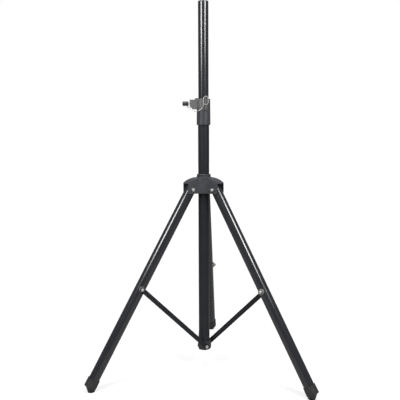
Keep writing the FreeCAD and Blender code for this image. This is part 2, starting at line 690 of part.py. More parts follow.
def makeKnob(name, radius, thick, face):
    """Lobed clamp knob whose neck starts at face, on a blind bore, along +Y."""
    body = newBody(name)
    neck = circle(body, name + "Neck", "XZ_Plane", "0", "0", "(%s) / 2" % radius, "-(%s)" % face)
    padded(body, neck, "knobNeck + sink", back=True)
    doc.recompute()
    disc = circle(body, name + "Disc", "XZ_Plane", "0", "0", radius, "-(%s) - knobNeck" % face)
    full = padded(body, disc, thick, back=True)
    middle = num("(%s) + knobNeck + (%s) / 2" % (face, thick))
    rounded(body, full, "knobEdge", lambda edge: edge.Length > 5 * num(radius)
            and abs(abs(edge.CenterOfMass.y) - middle) > num(thick) / 4)
    doc.recompute()
    bite = circle(body, name + "Bite", "XZ_Plane", "(%s) * biteOut" % radius, "0", "(%s) * biteSize" % radius,
                  "-(%s) - knobNeck + past" % face)
    scallop = pocketed(body, bite, "(%s) + past * 2" % thick)
    doc.recompute()
    axes = {item.Role: item for item in body.Origin.OriginFeatures}
    lobes = body.newObject("PartDesign::PolarPattern", name + "Lobes")
    lobes.Originals = [scallop]
    lobes.Axis = (axes["Y_Axis"], [""])
    lobes.Angle = 360
    bind(lobes, Occurrences="knobLobes")
    body.Tip = lobes
    doc.recompute()
    bore = circle(body, name + "Bore", "XZ_Plane", "0", "0", "screwRadius + fitGap", "-(%s)" % face)
    pocketed(body, bore, "(%s) * knobBore" % thick)
    return body


def makeClamp(prefix, azimuth, high, tube, bossEnd, knobRadius, knobThick, names):
    """Clamp screw in a boss: insert, shoe, screw and knob, pointing out at an azimuth."""
    place = raised(high) * turned(azimuth - 90)
    insert = ring(prefix + "InsertRing", "screwRadius + runGap + insertWall", "screwRadius + runGap",
                  "(%s) - insertLength" % bossEnd, bossEnd, alongY)
    node(names[0], insert, place)
    node(names[1], makeShoe(prefix + "Shoe", "screwRadius", "(%s) + seatGap" % tube), place)
    knobFace = "(%s) + knobStandOff" % bossEnd
    screw = stud(prefix + "Screw", "screwRadius", "(%s) + seatGap + shoeLength + seatGap" % tube,
                 "(%s) + (%s) * knobBore - seatGap" % (knobFace, knobThick))
    node(names[2], screw, place)
    node(names[3], makeKnob(prefix + "Knob", knobRadius, knobThick, knobFace), place)


# ---- mast

def makeMast():
    tube = pipe("mastTube", "mastRadius", "mastRadius - mastWall", "0", "mastLength")
    holes = [rod("mastHole%d" % number, "mastHoleRadius", "-mastRadius - past", "-mastRadius / 2", alongX,
                 ("0", "0", "mastFirstHole + mastHolePitch * %d" % number))
             for number in range(int(num("mastHoleCount")))]
    node("inner_tube", cut("mast", tube, *holes), raised("mastFoot"))
    inside, outside = "mastRadius - mastWall - fitGap", "poleBore - runGap"
    cap = newBody("mastCap")
    profile = outline(cap, "mastCapProfile", "XZ_Plane", [
        ("0", "mastLength"), (inside + " - mastCapWall", "mastLength"),
        (inside + " - mastCapWall", "mastLength - mastCapDepth"), (inside, "mastLength - mastCapDepth"),
        (inside, "mastLength"), ("mastRadius", "mastLength"),
        ("mastRadius", "mastLength + mastCapThick - mastCapEdge", "mastCapEdge"),
        ("mastRadius - mastCapEdge", "mastLength + mastCapThick"), ("0", "mastLength + mastCapThick")])
    revolved(cap, profile)
    node("mast_end_cap", cap, raised("mastFoot"))
    bush = newBody("mastBush")
    bushProfile = outline(bush, "mastBushProfile", "XZ_Plane", [
        (inside + " - mastBushWall", "-mastBushLip"), (outside + " - mastBushEdge", "-mastBushLip"),
        (outside, "mastBushEdge - mastBushLip"), (outside, "0"), (inside, "0"), (inside, "mastBushLength"),
        (inside + " - mastBushWall", "mastBushLength")])
    revolved(bush, bushProfile)
    node("mast_guide_bush", bush, raised("mastFoot"))


# ---- hub

lockAzimuth = 150


def makeHub():
    """Three-armed moulded hub: domed roof, cheeks that carry the leg pivots, a bore for
    the centre tube and a boss for the lock screw."""
    body = newBody("hub")
    dome = outline(body, "hubDome", "XZ_Plane", [
        ("hubBore", "-hubDrop"), ("hubReach - hubCorner", "-hubDrop", "hubCorner"),
        ("hubReach", "hubCorner - hubDrop"), ("hubReach", "hubRimTop", "hubDomeCurve"),
        ("hubNeckRadius", "hubDomeTop"),
        ("hubNeckRadius", "hubNeckTop - neckGrooveDown - neckGrooveWide"),
        ("hubNeckRadius - neckGrooveDeep", "hubNeckTop - neckGrooveDown - neckGrooveWide"),
        ("hubNeckRadius - neckGrooveDeep", "hubNeckTop - neckGrooveDown"),
        ("hubNeckRadius", "hubNeckTop - neckGrooveDown"), ("hubNeckRadius", "hubNeckTop - neckEdge"),
        ("hubNeckRadius - neckEdge", "hubNeckTop"), ("hubBore", "hubNeckTop")])
    revolved(body, dome)
    doc.recompute()
    run = "hubReach + hubValley"
    near = "hubValley * tan(30deg)"
    gap = outline(body, "hubGap", "XY_Plane", [
        ("(%s) * cos(30deg)" % near, "-valleyOut - (%s) / 2" % near, "hubValley"),
        ("-(%s) * cos(30deg)" % near, "-valleyOut - (%s) / 2" % near),
        ("-(%s) * cos(30deg)" % run, "-valleyOut - (%s) / 2" % run),
        ("0", "-valleyOut - (%s)" % run),
        ("(%s) * cos(30deg)" % run, "-valleyOut - (%s) / 2" % run)], "-hubDrop - past")
    between = pocketed(body, gap, "hubDrop + hubNeckTop + past * 2", back=True)
    doc.recompute()
    patterned(body, between, "3")
    doc.recompute()
    start = "hubBore + hubCore"
    under = outline(body, "hubChannel", "YZ_Plane", [
        (start, "-hubDrop - past"), ("hubReach + hubWall", "-hubDrop - past"),
        ("hubReach + hubWall", "hubRimTop - hubWall"),
        ("hubReach", "hubRimTop - hubWall", "hubDomeCurve - hubWall"),
        (start, "hubDomeTop - hubCore")])
    channel = pocketed(body, under, "channelHalf * 2", both=True)
    doc.recompute()
    patterned(body, channel, "3")
    doc.recompute()
    pivot = circle(body, "hubPivot", "YZ_Plane", "legPivotOut", "0", "boltRadius + fitGap")
    holes = pocketed(body, pivot, "(armHalf + past) * 2", both=True)
    doc.recompute()
    patterned(body, holes, "3")
    doc.recompute()
    boss = circle(body, "lockBoss", "XZ_Plane", "0", "hubLockUp", "hubLockBoss", "hubLockOut")
    padded(body, boss, "hubLockOut - hubBore - sink", back=True)
    doc.recompute()
    insertHole = circle(body, "lockInsertHole", "XZ_Plane", "0", "hubLockUp",
                        "screwRadius + runGap + insertWall + fitGap", "hubLockOut + past")
    pocketed(body, insertHole, "insertLength + past")
    doc.recompute()
    screwHole = circle(body, "lockScrewHole", "XZ_Plane", "0", "hubLockUp", "screwRadius + seatGap",
                       "hubLockOut + past")
    pocketed(body, screwHole, "hubLockOut - poleRadius + past * 3")
    node("hub_body", body, raised("pivotHigh") * turned(lockAzimuth + 90))


def makeHubBush():
    """Liner that runs on the centre tube, with a hole for the lock shoe."""
    liner = pipe("hubLiner", "hubBore - fitGap", "poleRadius + runGap", "-hubDrop", "hubNeckTop")
    hole = rod("hubLinerHole", "screwRadius + seatGap", "poleRadius - past", "hubBore + past", alongY,
               ("0", "0", "hubLockUp"))
    node("hub_bush", cut("hubLinerCut", liner, hole), raised("pivotHigh") * turned(lockAzimuth - 90))


def makeLegPivots():
    """Bolts and cap nuts that carry the legs in the hub's cheeks."""
    bolts, caps = [], []
    for side, azimuth in legAzimuths.items():
        bolt = panScrew("pivotBolt" + side.title(), "nutCap + fitGap - armHalf - nutHigh", "armHalf",
                        "boltHeadHigh")
        cap = capNut("pivotNut" + side.title(), "-armHalf - nutHigh - nutDome", "-armHalf",
                     "boltRadius + fitGap")
        bolt.Placement = cap.Placement = pivotPlace(azimuth)
        bolts.append(bolt)
        caps.append(cap)
    node("leg_pivot_bolts", grouped("pivotBolts", *bolts))
    node("leg_pivot_nuts", grouped("pivotNuts", *caps))


# ---- legs, in the frame of legPlace

boltSpot = ("0", "0", "-braceBoltDown")


def makeLegTube(side, place):
    name = "leg" + side.title()
    tube = pipe(name + "Tube", "legRadius", "legRadius - legWall", "-legLength", "legHead")
    across = ("-legRadius - past", "legRadius + past", alongY)
    pivot = rod(name + "PivotHole", "boltRadius + seatGap", *across)
    bolt = rod(name + "BoltHole", "boltRadius + fitGap", *across, boltSpot)
    node("leg_tube_" + side, cut(name, tube, pivot, bolt), place)


def makeLegHeadPlug(side, place):
    """Plug in the leg's head that turns on the pivot bolt."""
    body = newBody("headPlug" + side.title())
    inside = "legRadius - legWall - fitGap"
    profile = outline(body, "headPlugProfile" + side.title(), "XZ_Plane", [
        ("0", "-legPlugDepth"), (inside + " - legPlugEdge", "-legPlugDepth"),
        (inside, "legPlugEdge - legPlugDepth"), (inside, "legHead"), ("legRadius", "legHead"),
        ("legRadius - legPlugEdge", "legHead + legPlugLip"),
        ("0", "legHead + legPlugLip")])
    revolved(body, profile)
    doc.recompute()
    hole = circle(body, "headPlugHole" + side.title(), "XZ_Plane", "0", "0", "boltRadius + runGap")
    pocketed(body, hole, "(legRadius + past) * 2", both=True)
    node("leg_head_plug_" + side, body, place)


def makeBraceBolt(side, place):
    """Bolt across the leg with a saddle washer on one side, a spacer on the other and a nut."""
    title = side.title()
    outer = "-legRadius - saddleProud"
    bolt = stud("braceBolt" + title, "boltRadius", outer + " - nutHigh + nutCap + fitGap", "poleRadius")
    nut = capNut("braceNut" + title, outer + " - nutHigh - nutDome", outer, "boltRadius + fitGap")
    bolt.Placement = nut.Placement = place * Placement(Vector(0, 0, -num("braceBoltDown")), upright)
    node("brace_bolt_" + side, bolt)
    node("brace_nut_" + side, nut)
    for name, low, high in (("brace_saddle_", outer, "-legRadius / 2"),
                            ("brace_spacer_", "legRadius / 2", "poleRadius")):
        tag = name.title().replace("_", "") + title
        washer = rod(tag + "Disc", "saddleRadius", low, high, alongY, boltSpot)
        tube = rod(tag + "Tube", "legRadius + fitGap", "-braceBoltDown - 2 * saddleRadius",
                   "2 * saddleRadius - braceBoltDown")
        hole = rod(tag + "Hole", "boltRadius + fitGap", low + " - past", high + " + past", alongY, boltSpot)
        node(name + side, cut(tag, washer, tube, hole), place)


def makeFoot(side, azimuth):
    """Moulded boot on the leg's end that stands on a rubber pad."""
    title = side.title()
    place = turned(azimuth) * Placement(Vector(num("padOut"), 0, 0), upright)
    toEnd = Placement(Vector(num("legPivotOut + legLength * sin(legAngle * 1deg) - padOut"), 0,
                             num("footRise")), Rotation(Vector(0, 1, 0), -num("legAngle")))
    sleeve = doc.addObject("Part::Cylinder", "bootSleeve" + title)
    bind(sleeve, Radius="bootRadius", Height="bootLap + bootEnd")
    sleeve.Placement = toEnd * Placement(Vector(0, 0, -num("bootEnd")), upright)
    bore = doc.addObject("Part::Cylinder", "bootBore" + title)
    bind(bore, Radius="legRadius + fitGap", Height="bootLap + past")
    bore.Placement = toEnd
    root = doc.addObject("Part::Circle", "bootRoot" + title)
    bind(root, Radius="bootNeck")
    root.Placement = toEnd * Placement(Vector(0, 0, num("bootRoot - bootEnd")), upright)
    sole = doc.addObject("Part::Circle", "bootSole" + title)
    bind(sole, Radius="bootSole", Placement__Base__z="padHigh")
    pedestal = doc.addObject("Part::Loft", "bootPedestal" + title)
    pedestal.Sections = [sole, root]
    pedestal.Solid = True
    stem = rod("bootStemHole" + title, "padStemRadius + fitGap", "padHigh - past",
               "padHigh + padStemHigh + seatGap")
    node("foot_boot_" + side, cut("boot" + title, fused("bootWhole" + title, sleeve, pedestal), bore, stem),
         place)
    pad = newBody("footPad" + title)
    profile = outline(pad, "padProfile" + title, "XZ_Plane", [
        ("0", "0"), ("padRadius - padEdge", "0"), ("padRadius", "padEdge"), ("padRadius", "padHigh"),
        ("padStemRadius", "padHigh"), ("padStemRadius", "padHigh + padStemHigh"),
        ("0", "padHigh + padStemHigh")])
    revolved(pad, profile)
    node("foot_pad_" + side, pad, place)


# ---- braces, in the frame of bracePlace

def makeBrace(side, place):
    """Flat steel bar with rounded ends, and the screw head of its upper joint."""
    title = side.title()
    body = newBody("braceBar" + title)
    half, end = "braceWidth / 2", "braceWidth / 2"
    sketch = outline(body, "barOutline" + title, "XZ_Plane", [
        ("-" + half, "0", end), ("0", "-" + half, end), (half, "0"), (half, "braceLength", end),
        ("0", "braceLength + " + half, end), ("-" + half, "braceLength")], "-barNear")
    padded(body, sketch, "braceThick", back=True)
    doc.recompute()
    for tag, high, radius in (("Low", "0", "boltRadius + runGap"),
                              ("High", "braceLength", "boltRadius + fitGap")):
        hole = circle(body, "bar%sHole" % tag + title, "XZ_Plane", "0", high, radius, "-barFar - past")
        pocketed(body, hole, "braceThick + past * 2", back=True)
        doc.recompute()
    node("brace_bar_" + side, body, place)
    screw = panScrew("braceScrew" + title, "barNear", "barFar", "boltHeadHigh")
    node("brace_screw_" + side, screw, place * Placement(Vector(0, 0, num("braceLength")), upright))


# ---- tether ring and chain

def makeTetherRing():
    """Oval wire ring that hangs on the collar's peg."""
    body = newBody("tetherRing")
    half = "(ringWide / 2 - ringWire)"
    side = "(ringHigh / 2 - ringWide / 2)"
    spine = outline(body, "ringSpine", "XZ_Plane", [
        (half, "0"), (half, side, half), ("0", side + " + " + half, half), ("-" + half, side),
        ("-" + half, "-" + side, half), ("0", "-" + side + " - " + half, half), (half, "-" + side)])
    wire = circle(body, "ringWireSection", "XY_Plane", half, "0", "ringWire")
    doc.recompute()
    swept = body.newObject("PartDesign::AdditivePipe", "ringSweep")
    swept.Profile = wire
    swept.Spine = spine
    hang = Vector(num("pegAside + ringAside"), -num("collarTopRadius + (ribProud + pegProud) / 2"),
                  num("pinHigh + pegUp + pegRadius + seatGap + ringWire * 2 - ringHigh / 2"))
    node("tether_ring", body, Placement(hang, upright))


# the chain's route from the pin's eye to the ring, measured from the collar's pin axis
chainRoute = [(-55, -3.3, -12.8), (-46, -8.5, -14.2), (-39, -12.8, -20.5), (-29.5, -18, -26.6),
              (-16, -24, -27), (-4.5, -27.6, -18.5), (3.6, -28.4, -4)]


bendShare = 0.45  # share of each straight run that a bend may take


def cordTube(route, radius):
    """A round tube along straight runs joined by tangent arcs, each as large as its runs allow."""
    edges = []
    last = route[0]
    for before, corner, after in zip(route, route[1:], route[2:]):
        inward, outward = (before - corner), (after - corner)
        reach = bendShare * min(inward.Length, outward.Length)
        halfTurn = (math.pi - inward.getAngle(outward)) / 2
        print("chain bend radius %.1f mm" % (reach / math.tan(halfTurn)))
        inward, outward = inward.normalize(), outward.normalize()
        start, stop = corner + inward * reach, corner + outward * reach
        bisector = (inward + outward).normalize()
        bend = reach / math.tan(halfTurn)
        middle = corner + bisector * (bend / math.cos(halfTurn) - bend)
        edges += [Part.LineSegment(last, start).toShape(), Part.Arc(start, middle, stop).toShape()]
        last = stop
    edges.append(Part.LineSegment(last, route[-1]).toShape())
    path = Part.Wire(edges)
    section = Part.Wire(Part.Circle(route[0], route[1] - route[0], radius).toShape())
    tube = path.makePipeShell([section], True, True)
    expected = math.pi * radius ** 2 * path.Length
    print("chain length %.1f mm, volume %.4f of section times length" % (path.Length, tube.Volume / expected))
    return tube


def makeChain():
    chain = doc.addObject("Part::Feature", "chainTube")
    chain.Shape = cordTube([Vector(*spot) for spot in chainRoute], num("chainRadius"))
    node("safety_chain", chain, raised("pinHigh"))


for builder in (makePole, makeBasePlug, makePlugRivet, makeFootScrews, makeCollar, makeCollarRivets,
                makePin, makePinEye, makeMast, makeHub, makeHubBush, makeLegPivots, makeTetherRing,
                makeChain):
    builder()
makeClamp("clamp", 90, "pinHigh", "mastRadius", "clampBossOut", "clampKnobRadius", "clampKnobThick",
          ("clamp_insert", "clamp_shoe", "clamp_screw", "clamp_knob"))
makeClamp("hubLock", lockAzimuth, "pivotHigh + hubLockUp", "poleRadius", "hubLockOut", "hubKnobRadius",
          "hubKnobThick", ("hub_lock_insert", "hub_lock_shoe", "hub_lock_screw", "hub_lock_knob"))
for legSide, legAzimuth in legAzimuths.items():
    makeLegTube(legSide, legPlace(legAzimuth))
    makeLegHeadPlug(legSide, legPlace(legAzimuth))
    makeBraceBolt(legSide, legPlace(legAzimuth))
    makeFoot(legSide, legAzimuth)
    makeBrace(legSide, bracePlace(legAzimuth))
doc.recompute()

for item in doc.Objects:
    if "Invalid" in item.State or "Error" in item.State:
        raise RuntimeError("%s did not rebuild" % item.Name)
for name, item in nodes.items():
    if item.Shape.isNull() or not item.Shape.isValid():
        raise RuntimeError("%s has no valid shape" % name)
os.makedirs("parts", exist_ok=True)
for name, item in nodes.items():
    item.Shape.exportStep("parts/%s.step" % name)
    print("%-22s %d solids %10.1f mm3" % (name, len(item.Shape.Solids), item.Shape.Volume))
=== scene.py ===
import bmesh
import bpy
import json
import math
from mathutils import Matrix, Quaternion, Vector


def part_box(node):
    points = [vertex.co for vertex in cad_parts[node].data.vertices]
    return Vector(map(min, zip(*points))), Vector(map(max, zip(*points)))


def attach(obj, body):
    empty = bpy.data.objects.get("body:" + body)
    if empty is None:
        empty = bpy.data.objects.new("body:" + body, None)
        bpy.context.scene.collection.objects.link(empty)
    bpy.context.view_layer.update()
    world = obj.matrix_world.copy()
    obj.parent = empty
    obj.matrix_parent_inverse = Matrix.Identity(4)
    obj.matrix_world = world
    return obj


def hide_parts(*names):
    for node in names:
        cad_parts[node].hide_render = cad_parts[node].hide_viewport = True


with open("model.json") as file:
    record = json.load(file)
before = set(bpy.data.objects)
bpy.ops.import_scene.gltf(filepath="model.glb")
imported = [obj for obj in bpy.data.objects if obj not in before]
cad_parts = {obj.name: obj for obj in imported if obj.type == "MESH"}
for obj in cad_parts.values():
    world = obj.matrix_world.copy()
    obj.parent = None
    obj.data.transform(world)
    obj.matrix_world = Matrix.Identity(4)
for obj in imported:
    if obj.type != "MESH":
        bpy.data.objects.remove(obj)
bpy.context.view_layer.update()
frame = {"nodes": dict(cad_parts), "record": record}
nodes = frame["nodes"]
record = frame["record"]
bodyOf = {node: body for body, members in record["behaviour"]["bodies"].items() for node in members}
slotOf = {part["node"]: part["material_slot"] for part in record["subparts"]}
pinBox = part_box("lock_pin")
pinLevel = (pinBox[0][2] + pinBox[1][2]) / 2  # the height of the pin's axis, in metres
scene = bpy.context.scene
scene.view_settings.view_transform = "Standard"
mm = 0.001


def linear(hexColour):
    channels = [int(hexColour[i:i + 2], 16) / 255 for i in (1, 3, 5)]
    return [c / 12.92 if c <= 0.04045 else ((c + 0.055) / 1.055) ** 2.4 for c in channels] + [1]


def addNode(tree, kind, settings=None, inputs=None, links=None):
    # settings are the node's own properties, inputs its socket values, links its sockets' sources
    made = tree.nodes.new(kind)
    for name, value in (settings or {}).items():
        setattr(made, name, value)
    for name, value in (inputs or {}).items():
        made.inputs[name].default_value = value
    for name, source in (links or {}).items():
        tree.links.new(source, made.inputs[name])
    return made


def addObject(name, data):
    made = bpy.data.objects.new(name, data)
    scene.collection.objects.link(made)
    return made


camera = {
    "place": (0.1375, -1.8775, 0.8283),  # metres from the foot of the centre tube
    "heading": 4.59,                     # degrees from +Y towards -X
    "down": 6.65,
    "roll": -0.23,
    "lens": 49.27, "sensor": 36,         # millimetres
    "reach": 50,                         # metres
}


def addCamera(settings):
    data = bpy.data.cameras.new("camera")
    data.lens = settings["lens"]
    data.sensor_width = settings["sensor"]
    data.clip_end = settings["reach"]
    holder = addObject("camera", data)
    heading, down = math.radians(settings["heading"]), math.radians(settings["down"])
    aim = Vector((-math.sin(heading) * math.cos(down), math.cos(heading) * math.cos(down), -math.sin(down)))
    turn = aim.to_track_quat("-Z", "Y") @ Quaternion((0, 0, 1), math.radians(settings["roll"]))
    holder.matrix_world = Matrix.Translation(settings["place"]) @ turn.to_matrix().to_4x4()
    scene.camera = holder


addCamera(camera)
print("camera set")


def newMaterial(name, colour, roughness, metallic=0, specular=0.5):
    material = bpy.data.materials.new(name)
    material.use_nodes = True
    shader = material.node_tree.nodes["Principled BSDF"]
    shader.inputs["Base Color"].default_value = linear(colour)
    shader.inputs["Roughness"].default_value = roughness
    shader.inputs["Metallic"].default_value = metallic
    shader.inputs["Specular IOR Level"].default_value = specular
    return material, material.node_tree, shader


grainShape = {
    "detail": 3, "edgeSamples": 4,
    # blotches of gloss and colour: their size in grains, their detail, and the part of their noise that counts
    "blotch": 18, "blotchDetail": 4, "glossSpan": (0.3, 0.7), "colourSpan": (0.35, 0.65),
}


def grain(tree, shader, size, depth, edge, roughness, colours=None):
    # a surface's grain: bump over softly broken edges (size, depth and edge in millimetres), with slight blotches
    # of gloss and colour
    place = addNode(tree, "ShaderNodeTexCoord")
    noise = addNode(tree, "ShaderNodeTexNoise", inputs={
        "Scale": 1 / (size * mm), "Detail": grainShape["detail"]}, links={"Vector": place.outputs["Object"]})
    broken = addNode(tree, "ShaderNodeBevel", {"samples": grainShape["edgeSamples"]}, {"Radius": edge * mm})
    bump = addNode(tree, "ShaderNodeBump", inputs={"Strength": 1, "Distance": depth * mm},
                   links={"Height": noise.outputs["Fac"], "Normal": broken.outputs["Normal"]})
    tree.links.new(bump.outputs["Normal"], shader.inputs["Normal"])
    blotches = addNode(tree, "ShaderNodeTexNoise", inputs={
        "Scale": 1 / (grainShape["blotch"] * size * mm), "Detail": grainShape["blotchDetail"]},
        links={"Vector": place.outputs["Object"]})
    low, high = grainShape["glossSpan"]
    gloss = addNode(tree, "ShaderNodeMapRange", inputs={
        "From Min": low, "From Max": high, "To Min": roughness[0], "To Max": roughness[1]},
        links={"Value": blotches.outputs["Fac"]})
    tree.links.new(gloss.outputs["Result"], shader.inputs["Roughness"])
    if colours:
        ramp = addNode(tree, "ShaderNodeValToRGB", links={"Fac": blotches.outputs["Fac"]})
        for stop, position, colour in zip(ramp.color_ramp.elements, grainShape["colourSpan"], colours):
            stop.position = position
            stop.color = linear(colour)
        tree.links.new(ramp.outputs["Color"], shader.inputs["Base Color"])


def powderCoatedSteel(name, roughness, specular):
    # powder coat on steel: a deep black with sharp strips of light on it, and the faint orange peel of baked powder
    material, tree, shader = newMaterial(name, "#212226", roughness, specular=specular)
    grain(tree, shader, size=3, depth=0.002, edge=0.3, roughness=(roughness - 0.02, roughness + 0.03),
          colours=("#212226", "#26272b"))
    return material


def mouldedPlastic(name, colour, colourTwo, roughness):
    # nylon, acetal or polypropylene out of a spark-eroded mould: dull, and slightly grey where light rakes it
    material, tree, shader = newMaterial(name, colour, roughness, specular=0.45)
    grain(tree, shader, size=0.7, depth=0.05, edge=0.6, roughness=(roughness - 0.06, roughness + 0.06),
          colours=(colour, colourTwo))
    return material


def nylonWithPaintedHighlight(name, colour, colourTwo, roughness, highlight):
    # nylon painted paler at the pin's height, on the boss and the front of the collar beside it: a painted
    # highlight where light falls
    material = mouldedPlastic(name, colour, colourTwo, roughness)
    tree = material.node_tree
    shader = tree.nodes["Principled BSDF"]
    ownColour = shader.inputs["Base Color"].links[0].from_socket
    place = addNode(tree, "ShaderNodeTexCoord")
    fromPin = addNode(tree, "ShaderNodeVectorMath", {"operation": "SUBTRACT"}, {1: (0, 0, pinLevel)},
                      {0: place.outputs["Object"]})
    along = addNode(tree, "ShaderNodeSeparateXYZ", links={"Vector": fromPin.outputs["Vector"]})
    offLevel = addNode(tree, "ShaderNodeMath", {"operation": "ABSOLUTE"}, links={0: along.outputs["Z"]})
    nearLevel = addNode(tree, "ShaderNodeMapRange", inputs={
        "From Min": highlight["nonePast"] * mm, "From Max": highlight["fullWithin"] * mm},
        links={"Value": offLevel.outputs["Value"]})
    nearBoss = addNode(tree, "ShaderNodeMapRange", inputs={
        "From Min": highlight["noneRightOf"] * mm, "From Max": highlight["fullLeftOf"] * mm},
        links={"Value": along.outputs["X"]})
    # painted highlight: how far the nylon is drawn towards the paler grey, full near the pin's height on the boss
    # side
    highlightAmount = addNode(tree, "ShaderNodeMath", {"operation": "MULTIPLY"}, links={
        0: nearLevel.outputs["Result"], 1: nearBoss.outputs["Result"]})
    # a mix node's colour sockets have no names of their own: 6 and 7 are its colours, 2 its result
    mixed = addNode(tree, "ShaderNodeMix", {"data_type": "RGBA"}, {7: linear(highlight["colour"])},
                    {0: highlightAmount.outputs["Value"], 6: ownColour})
    tree.links.new(mixed.outputs[2], shader.inputs["Base Color"])
    return material


def mouldedRubber(name):
    # black rubber: matt, with the dust that a floor leaves in its pores
    material, tree, shader = newMaterial(name, "#161616", roughness=0.8, specular=0.3)
    grain(tree, shader, size=0.5, depth=0.04, edge=0.5, roughness=(0.72, 0.88), colours=("#131313", "#1e1d1c"))
    return material


def turnedMetal(name, colour, roughness, metallic=1):
    # zinc-plated or blackened steel, or brass, turned and pressed: a fine satin, with a slight bloom of oxide
    material, tree, shader = newMaterial(name, colour, roughness, metallic=metallic)
    grain(tree, shader, size=0.6, depth=0.01, edge=0.25, roughness=(roughness - 0.06, roughness + 0.1))
    return material


finishes = {
    "tube_black": powderCoatedSteel("powderCoatedTube", roughness=0.15, specular=0.66),
    "bar_black": powderCoatedSteel("powderCoatedBar", roughness=0.35, specular=0.2),
    "moulding_black": mouldedPlastic("glassFilledNylon", "#393a3e", "#3f4044", roughness=0.36),
    "liner_black": mouldedPlastic("acetalLiner", "#171717", "#1c1c1c", roughness=0.35),
    "cap_black": mouldedPlastic("blackPolypropylene", "#2e2e2f", "#343435", roughness=0.4),
    "boot_black": mouldedPlastic("softNylonBoot", "#282828", "#2e2e2e", roughness=0.5),
    "pad_rubber": mouldedRubber("mouldedRubber"),
    "saddle_grey": mouldedPlastic("naturalNylon", "#737371", "#83837f", roughness=0.5),
    "steel_bright": turnedMetal("zincPlatedSteel", "#c0c0be", roughness=0.36, metallic=0.65),
    "steel_dark": turnedMetal("blackenedSteel", "#4a4a4c", roughness=0.4),
    "brass_insert": turnedMetal("turnedBrass", "#b8935a", roughness=0.3),
}
# the collar's painted highlight, in millimetres above or below the pin's axis and towards +X from the centre tube's
collarHighlight = {"fullWithin": 17, "nonePast": 26, "fullLeftOf": 10, "noneRightOf": 20, "colour": "#606061"}
# pieces whose finish isn't that of their slot: a centre tube less glossy than the mast and the legs, the collar
# with its painted highlight, and the plug under the centre tube, whose darker grey is painted shade
ownFinishes = {
    "outer_tube": powderCoatedSteel("satinCentreTube", roughness=0.35, specular=0.25),
    "height_collar": nylonWithPaintedHighlight("collarNylonPaintedHighlight", "#393a3e", "#3f4044", roughness=0.36, highlight=collarHighlight),
    # the plug's darker grey is painted shade, low under the centre tube and the bars
    "base_plug": mouldedPlastic("plugNylonPaintedShade", "#2e2e2e", "#343434", roughness=0.4),
}
print("materials made")

shading = {"smoothUnder": 32, "weld": 0.01}  # degrees between two faces, and millimetres between two corners


def meshOf(node):
    # a welded copy of a node's mesh, without the normals that it came with, so that it shades smoothly
    mesh = nodes[node].data.copy()
    mesh.name = node + "Dressed"
    imported = mesh.attributes.get("custom_normal")
    if imported:
        mesh.attributes.remove(imported)
    shape = bmesh.new()
    shape.from_mesh(mesh)
    bmesh.ops.remove_doubles(shape, verts=shape.verts, dist=shading["weld"] * mm)
    shape.to_mesh(mesh)
    shape.free()
    return mesh


def dress(node):
    mesh = meshOf(node)
    mesh.materials.clear()
    mesh.materials.append(ownFinishes.get(node) or finishes[slotOf[node]])
    piece = addObject(node + "_dressed", mesh)
    mesh.shade_smooth()
    mesh.set_sharp_from_angle(angle=math.radians(shading["smoothUnder"]))
    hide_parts(node)
    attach(piece, bodyOf[node])


# the chain's solid is replaced by links
for node in nodes:
    if node != "safety_chain":
        dress(node)
print("nodes dressed")

chain = {
    # from the pin's eye to the ring, in millimetres from the centre tube's axis and the height of the pin's
    "route": [(-55, -3.3, -12.8), (-46, -8.5, -14.2), (-39, -12.8, -20.5), (-29.5, -18, -26.6),
              (-16, -24, -27), (-4.5, -27.6, -18.5), (3.6, -28.4, -4)],
    "order": 3, "steps": 24,  # of the smooth curve that the route guides
    "width": 4.4, "wire": 1.0, "pitch": 5.0, "length": 78.3,
    # a link's end is a half circle just short of its full width, so that its two bends don't meet
    "bend": 0.499, "bendSteps": 5, "wireSides": 8,
}


def newTree(name, sockets):
    # a Geometry Nodes tree with named inputs, and one geometry out
    tree = bpy.data.node_groups.new(name, "GeometryNodeTree")
    for socketName, kind in sockets:
        tree.interface.new_socket(socketName, in_out="INPUT", socket_type=kind)
    tree.interface.new_socket("Geometry", in_out="OUTPUT", socket_type="NodeSocketGeometry")
    return tree, addNode(tree, "NodeGroupInput").outputs


def closeTree(tree, geometry, material):
    whole = addNode(tree, "GeometryNodeRealizeInstances", links={"Geometry": geometry})
    painted = addNode(tree, "GeometryNodeSetMaterial", inputs={"Material": material},
                      links={"Geometry": whole.outputs["Geometry"]})
    addNode(tree, "NodeGroupOutput", links={"Geometry": painted.outputs["Geometry"]})


def grown(name, start, tree, values):
    # runs the tree on an object made from start, and returns the result as a plain mesh object
    seed = addObject(name + "Seed", start)
    modifier = seed.modifiers.new("grow", "NODES")
    modifier.node_group = tree
    for item in tree.interface.items_tree:
        if item.in_out == "INPUT" and item.name in values:
            modifier[item.identifier] = values[item.name]
    bpy.context.view_layer.update()
    mesh = bpy.data.meshes.new_from_object(seed.evaluated_get(bpy.context.evaluated_depsgraph_get()))
    bpy.data.objects.remove(seed)
    mesh.name = name
    return addObject(name, mesh)


